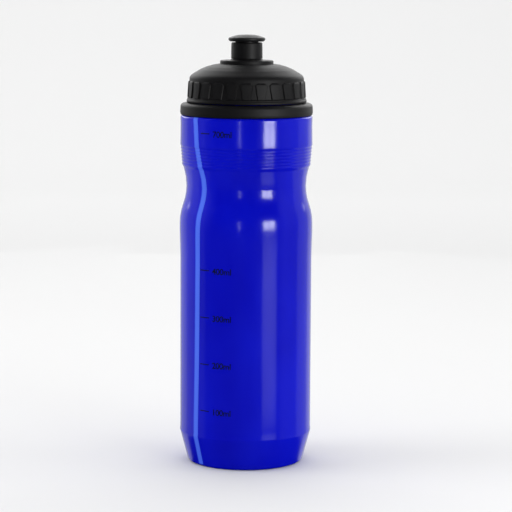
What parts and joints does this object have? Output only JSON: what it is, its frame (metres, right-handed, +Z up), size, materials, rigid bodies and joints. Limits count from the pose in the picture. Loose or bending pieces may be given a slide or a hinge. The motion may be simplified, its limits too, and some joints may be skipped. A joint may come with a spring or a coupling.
{
  "type": "sports squeeze bottle",
  "caption": "Blow-moulded squeeze bottle with a waist grip, a clear level stripe, a ribbed screw cap and a push-pull nozzle.",
  "frame": {"origin": "centre of the standing ring, on the surface that the bottle stands on", "axes": "+Z up along the bottle's axis to the nozzle; -Y faces the viewer who reads the printed scale near the left edge"},
  "size_m": [0.0741, 0.074, 0.2392],
  "materials": {
    "bottle_wall": "glossy squeezable polyethylene, saturated blue",
    "clear_stripe": "glossy translucent natural polyethylene, lit blue by the wall beside it",
    "collar_black": "satin black polypropylene",
    "cap_black": "matte black polypropylene",
    "nozzle_black": "satin black polypropylene",
    "soft_black": "soft matte black thermoplastic elastomer",
    "seal_rubber": "grey silicone rubber"
  },
  "bodies": {
    "bottle": {"bottle_body": "bottle_wall", "view_stripe": "clear_stripe", "neck_collar": "collar_black"},
    "gasket": {"cap_gasket": "seal_rubber"},
    "cap": {"cap_shell": "cap_black", "spout_insert": "cap_black", "spout_seal": "seal_rubber", "nozzle_seal": "seal_rubber", "valve_pin": "cap_black"},
    "nozzle": {"nozzle_sleeve": "nozzle_black", "mouthpiece": "soft_black"}
  },
  "joints": [
    {"name": "cap_lift", "type": "slide", "parent": "bottle", "child": "gasket", "axis": [0, 0, 1], "range_m": [0, 0.02]},
    {"name": "cap_turn", "type": "hinge", "parent": "gasket", "child": "cap", "pos_m": [0, 0, 0.2], "axis": [0, 0, 1], "range_deg": [0, 1440.5]},
    {"name": "nozzle_pull", "type": "slide", "parent": "cap", "child": "nozzle", "axis": [0, 0, 1], "range_m": [0, 0.005]}
  ],
  "couplings": [
    {"joint": "cap_turn", "follows": "cap_lift", "rad_per_m": 1256.6}
  ]
}
